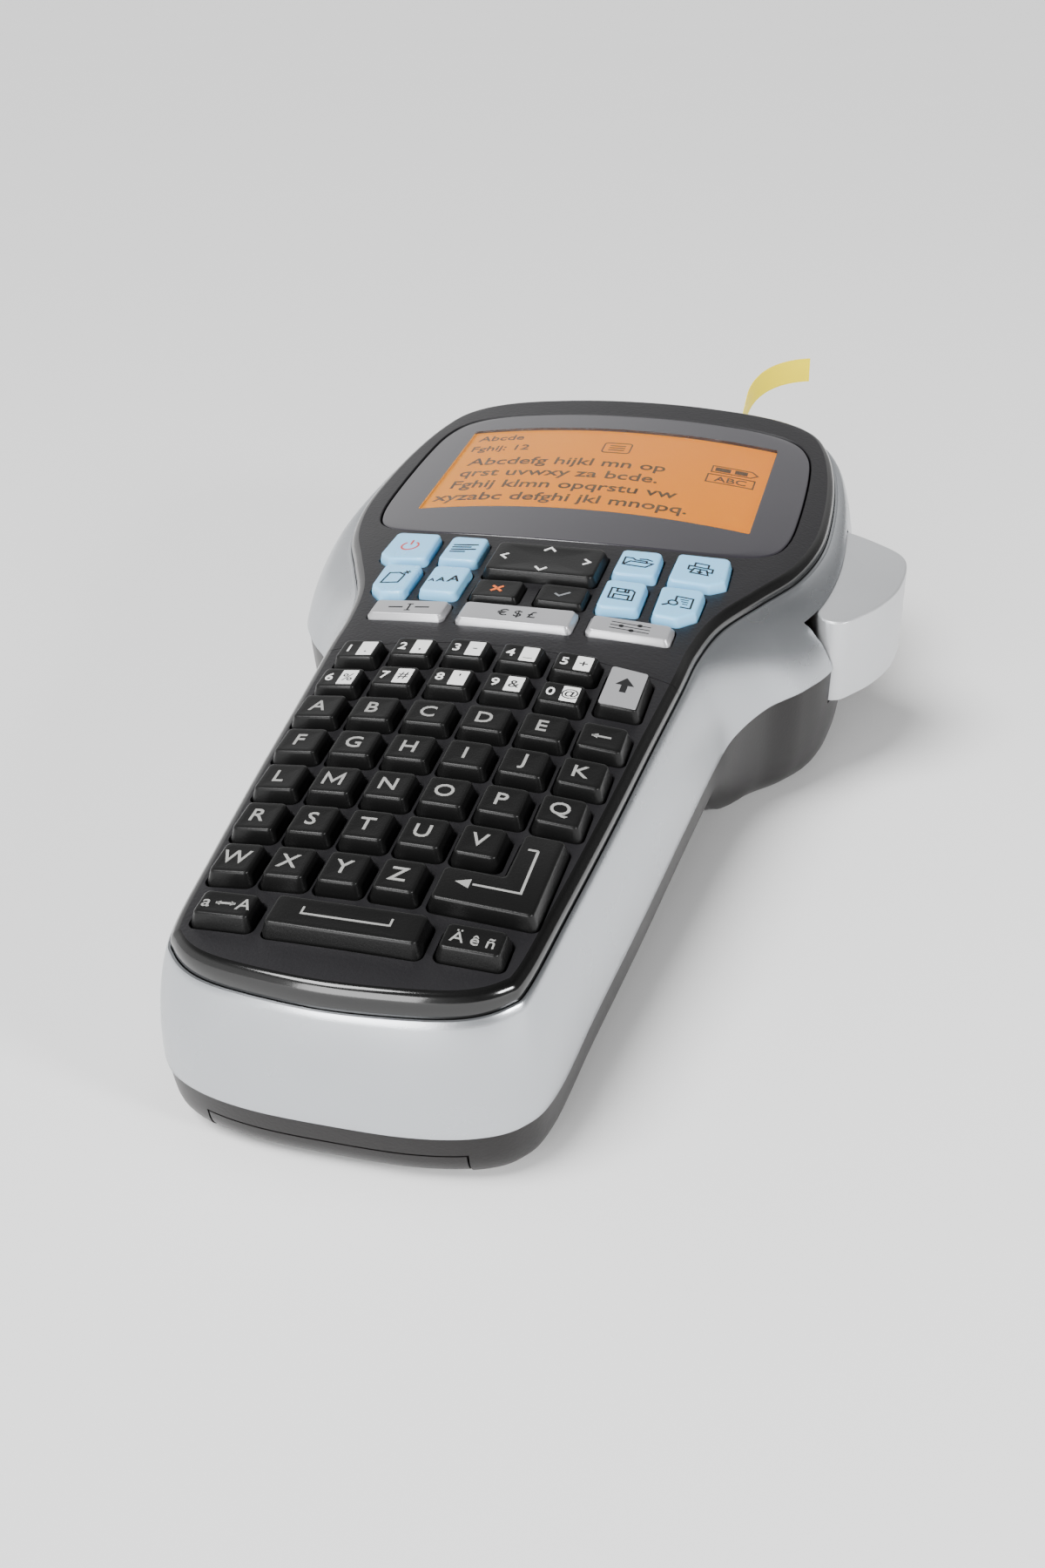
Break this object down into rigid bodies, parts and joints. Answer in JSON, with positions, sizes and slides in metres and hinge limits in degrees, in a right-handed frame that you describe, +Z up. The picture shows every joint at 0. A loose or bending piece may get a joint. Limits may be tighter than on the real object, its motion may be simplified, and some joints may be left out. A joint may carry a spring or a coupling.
{
  "type": "label maker",
  "caption": "Handheld label printer with a full keyboard, amber display, side cutter lever, tape cassette and a removable battery, leaning back on rubber feet.",
  "frame": {"origin": "centre of the bottom face of the wide rubber foot under the head, on the table", "axes": "+Y from the keypad's front edge towards the display, +Z up from the table, +X to the user's right"},
  "size_m": [0.124, 0.254, 0.0592],
  "materials": {
    "plate_black": "fine-grained satin black",
    "band_silver": "satin metallic silver paint on moulded plastic",
    "shell_black": "satin black",
    "lens_gray": "glossy tinted window",
    "lcd_orange": "amber backlit display",
    "board_green": "solder-masked board",
    "mat_rubber": "silicone",
    "key_black": "satin black with printed legends",
    "key_blue": "pale blue",
    "key_silver": "satin silver paint",
    "lever_silver": "satin pale silver",
    "battery_black": "shrink-wrapped pack",
    "contact_gold": "plated spring contact",
    "steel": "plain steel",
    "case_white": "natural moulded plastic",
    "tape_yellow": "laminated label film",
    "roller_rubber": "ground rubber",
    "gear_white": "natural acetal",
    "foot_rubber": "soft rubber"
  },
  "bodies": {
    "casing": {"display_bezel": "plate_black", "keypad_bezel": "plate_black", "side_band": "band_silver", "bottom_shell": "shell_black", "display_window": "lens_gray", "lcd_module": "lcd_orange", "main_pcb": "board_green", "keypad_mat": "mat_rubber", "battery_pack": "battery_black", "battery_contacts": "contact_gold", "door_hinge_pin": "steel", "cassette_case": "case_white", "label_tape": "tape_yellow", "print_head": "steel", "drive_motor": "steel", "mech_frame": "steel", "cutter_pivot_pin": "steel", "cutter_spring": "steel", "dc_jack": "shell_black", "usb_port": "steel", "case_screws": "steel", "rubber_feet": "foot_rubber"},
    "battery_cover": {"battery_cover": "shell_black"},
    "cassette_door": {"cassette_door": "shell_black"},
    "cutter_lever": {"cutter_lever": "lever_silver"},
    "cutter_blade": {"cutter_blade": "steel"},
    "platen": {"platen_roller": "roller_rubber", "platen_gear": "gear_white"},
    "idler": {"idler_gear": "gear_white"},
    "pinion": {"motor_pinion": "contact_gold"},
    "spool": {"tape_spool": "tape_yellow"},
    "nav_gimbal": {"nav_gimbal": "case_white"},
    "nav_pad": {"nav_pad": "key_black"},
    "power_key": {"power_key": "key_blue"},
    "format_key": {"format_key": "key_blue"},
    "new_label_key": {"new_label_key": "key_blue"},
    "size_key": {"size_key": "key_blue"},
    "open_key": {"open_key": "key_blue"},
    "print_key": {"print_key": "key_blue"},
    "save_key": {"save_key": "key_blue"},
    "preview_key": {"preview_key": "key_blue"},
    "cancel_key": {"cancel_key": "key_black"},
    "ok_key": {"ok_key": "key_black"},
    "insert_key": {"insert_key": "key_silver"},
    "symbols_key": {"symbols_key": "key_silver"},
    "settings_key": {"settings_key": "key_silver"},
    "shift_key": {"shift_key": "key_black"},
    "backspace_key": {"backspace_key": "key_black"},
    "enter_key": {"enter_key": "key_black"},
    "caps_key": {"caps_key": "key_black"},
    "space_key": {"space_key": "key_black"},
    "accent_key": {"accent_key": "key_black"},
    "digits_far_row": {"digits_far_row": "key_black"},
    "digits_near_row": {"digits_near_row": "key_black"},
    "letters_row_1": {"letters_row_1": "key_black"},
    "letters_row_2": {"letters_row_2": "key_black"},
    "letters_row_3": {"letters_row_3": "key_black"},
    "letters_row_4": {"letters_row_4": "key_black"},
    "letters_row_5": {"letters_row_5": "key_black"}
  },
  "joints": [
    {"name": "cutter_lever_press", "type": "hinge", "parent": "casing", "child": "cutter_lever", "pos_m": [0.044, 0.04313, 0.03366], "axis": [0, 0.1288, -0.9917], "range_deg": [0, 10], "stiffness_Nm_per_rad": 0.15, "springref_deg": -2.86},
    {"name": "cutter_blade_slide", "type": "slide", "parent": "casing", "child": "cutter_blade", "axis": [1, 0, 0], "range_m": [0, 0.0062]},
    {"name": "cassette_door_hinge", "type": "hinge", "parent": "casing", "child": "cassette_door", "pos_m": [0, 0.0837, 0.00325], "axis": [1, 0, 0], "range_deg": [0, 88]},
    {"name": "battery_cover_slide", "type": "slide", "parent": "casing", "child": "battery_cover", "axis": [0, -0.9917, -0.1288], "range_m": [0, 0.09]},
    {"name": "platen_spin", "type": "hinge", "parent": "casing", "child": "platen", "pos_m": [0.02662, 0.07559, 0.03989], "axis": [0, -0.1288, 0.9917], "continuous": true},
    {"name": "idler_spin", "type": "hinge", "parent": "casing", "child": "idler", "pos_m": [0.02954, 0.06086, 0.02487], "axis": [0, -0.1288, 0.9917], "continuous": true},
    {"name": "pinion_spin", "type": "hinge", "parent": "casing", "child": "pinion", "pos_m": [0.03204, 0.0468, 0.02305], "axis": [0, -0.1288, 0.9917], "continuous": true},
    {"name": "spool_spin", "type": "hinge", "parent": "casing", "child": "spool", "pos_m": [-0.012, 0.0358, 0.03574], "axis": [0, -0.1288, 0.9917], "continuous": true},
    {"name": "nav_tilt_side", "type": "hinge", "parent": "casing", "child": "nav_gimbal", "pos_m": [0, -0.00421, 0.04566], "axis": [0, 0.9917, 0.1288], "range_deg": [-3, 3], "stiffness_Nm_per_rad": 0.3},
    {"name": "nav_tilt_fore", "type": "hinge", "parent": "nav_gimbal", "child": "nav_pad", "pos_m": [0, -0.00421, 0.04566], "axis": [1, 0, 0], "range_deg": [-3, 3], "stiffness_Nm_per_rad": 0.3},
    {"name": "power_press", "type": "slide", "parent": "casing", "child": "power_key", "axis": [0, 0.1288, -0.9917], "range_m": [0, 0.0012], "stiffness_N_per_m": 400, "springref_m": -0.0005},
    {"name": "format_press", "type": "slide", "parent": "casing", "child": "format_key", "axis": [0, 0.1288, -0.9917], "range_m": [0, 0.0012], "stiffness_N_per_m": 400, "springref_m": -0.0005},
    {"name": "new_label_press", "type": "slide", "parent": "casing", "child": "new_label_key", "axis": [0, 0.1288, -0.9917], "range_m": [0, 0.0012], "stiffness_N_per_m": 400, "springref_m": -0.0005},
    {"name": "size_press", "type": "slide", "parent": "casing", "child": "size_key", "axis": [0, 0.1288, -0.9917], "range_m": [0, 0.0012], "stiffness_N_per_m": 400, "springref_m": -0.0005},
    {"name": "open_press", "type": "slide", "parent": "casing", "child": "open_key", "axis": [0, 0.1288, -0.9917], "range_m": [0, 0.0012], "stiffness_N_per_m": 400, "springref_m": -0.0005},
    {"name": "print_press", "type": "slide", "parent": "casing", "child": "print_key", "axis": [0, 0.1288, -0.9917], "range_m": [0, 0.0012], "stiffness_N_per_m": 400, "springref_m": -0.0005},
    {"name": "save_press", "type": "slide", "parent": "casing", "child": "save_key", "axis": [0, 0.1288, -0.9917], "range_m": [0, 0.0012], "stiffness_N_per_m": 400, "springref_m": -0.0005},
    {"name": "preview_press", "type": "slide", "parent": "casing", "child": "preview_key", "axis": [0, 0.1288, -0.9917], "range_m": [0, 0.0012], "stiffness_N_per_m": 400, "springref_m": -0.0005},
    {"name": "cancel_press", "type": "slide", "parent": "casing", "child": "cancel_key", "axis": [0, 0.1288, -0.9917], "range_m": [0, 0.0012], "stiffness_N_per_m": 400, "springref_m": -0.0005},
    {"name": "ok_press", "type": "slide", "parent": "casing", "child": "ok_key", "axis": [0, 0.1288, -0.9917], "range_m": [0, 0.0012], "stiffness_N_per_m": 400, "springref_m": -0.0005},
    {"name": "insert_press", "type": "slide", "parent": "casing", "child": "insert_key", "axis": [0, 0.1288, -0.9917], "range_m": [0, 0.0012], "stiffness_N_per_m": 400, "springref_m": -0.0005},
    {"name": "symbols_press", "type": "slide", "parent": "casing", "child": "symbols_key", "axis": [0, 0.1288, -0.9917], "range_m": [0, 0.0012], "stiffness_N_per_m": 400, "springref_m": -0.0005},
    {"name": "settings_press", "type": "slide", "parent": "casing", "child": "settings_key", "axis": [0, 0.1288, -0.9917], "range_m": [0, 0.0012], "stiffness_N_per_m": 400, "springref_m": -0.0005},
    {"name": "shift_press", "type": "slide", "parent": "casing", "child": "shift_key", "axis": [0, 0.1288, -0.9917], "range_m": [0, 0.0012], "stiffness_N_per_m": 400, "springref_m": -0.0005},
    {"name": "backspace_press", "type": "slide", "parent": "casing", "child": "backspace_key", "axis": [0, 0.1288, -0.9917], "range_m": [0, 0.0012], "stiffness_N_per_m": 400, "springref_m": -0.0005},
    {"name": "enter_press", "type": "slide", "parent": "casing", "child": "enter_key", "axis": [0, 0.1288, -0.9917], "range_m": [0, 0.0012], "stiffness_N_per_m": 400, "springref_m": -0.0005},
    {"name": "caps_press", "type": "slide", "parent": "casing", "child": "caps_key", "axis": [0, 0.1288, -0.9917], "range_m": [0, 0.0012], "stiffness_N_per_m": 400, "springref_m": -0.0005},
    {"name": "space_press", "type": "slide", "parent": "casing", "child": "space_key", "axis": [0, 0.1288, -0.9917], "range_m": [0, 0.0012], "stiffness_N_per_m": 400, "springref_m": -0.0005},
    {"name": "accent_press", "type": "slide", "parent": "casing", "child": "accent_key", "axis": [0, 0.1288, -0.9917], "range_m": [0, 0.0012], "stiffness_N_per_m": 400, "springref_m": -0.0005},
    {"name": "digits_far_row_press", "type": "slide", "parent": "casing", "child": "digits_far_row", "axis": [0, 0.1288, -0.9917], "range_m": [0, 0.0012], "stiffness_N_per_m": 400, "springref_m": -0.0005},
    {"name": "digits_near_row_press", "type": "slide", "parent": "casing", "child": "digits_near_row", "axis": [0, 0.1288, -0.9917], "range_m": [0, 0.0012], "stiffness_N_per_m": 400, "springref_m": -0.0005},
    {"name": "letters_row_1_press", "type": "slide", "parent": "casing", "child": "letters_row_1", "axis": [0, 0.1288, -0.9917], "range_m": [0, 0.0012], "stiffness_N_per_m": 400, "springref_m": -0.0005},
    {"name": "letters_row_2_press", "type": "slide", "parent": "casing", "child": "letters_row_2", "axis": [0, 0.1288, -0.9917], "range_m": [0, 0.0012], "stiffness_N_per_m": 400, "springref_m": -0.0005},
    {"name": "letters_row_3_press", "type": "slide", "parent": "casing", "child": "letters_row_3", "axis": [0, 0.1288, -0.9917], "range_m": [0, 0.0012], "stiffness_N_per_m": 400, "springref_m": -0.0005},
    {"name": "letters_row_4_press", "type": "slide", "parent": "casing", "child": "letters_row_4", "axis": [0, 0.1288, -0.9917], "range_m": [0, 0.0012], "stiffness_N_per_m": 400, "springref_m": -0.0005},
    {"name": "letters_row_5_press", "type": "slide", "parent": "casing", "child": "letters_row_5", "axis": [0, 0.1288, -0.9917], "range_m": [0, 0.0012], "stiffness_N_per_m": 400, "springref_m": -0.0005}
  ],
  "couplings": [
    {"joint": "cutter_blade_slide", "follows": "cutter_lever_press", "m_per_rad": 0.0345},
    {"joint": "idler_spin", "follows": "platen_spin", "ratio": -0.75},
    {"joint": "pinion_spin", "follows": "platen_spin", "ratio": 1.5},
    {"joint": "spool_spin", "follows": "platen_spin", "ratio": 0.21053}
  ]
}
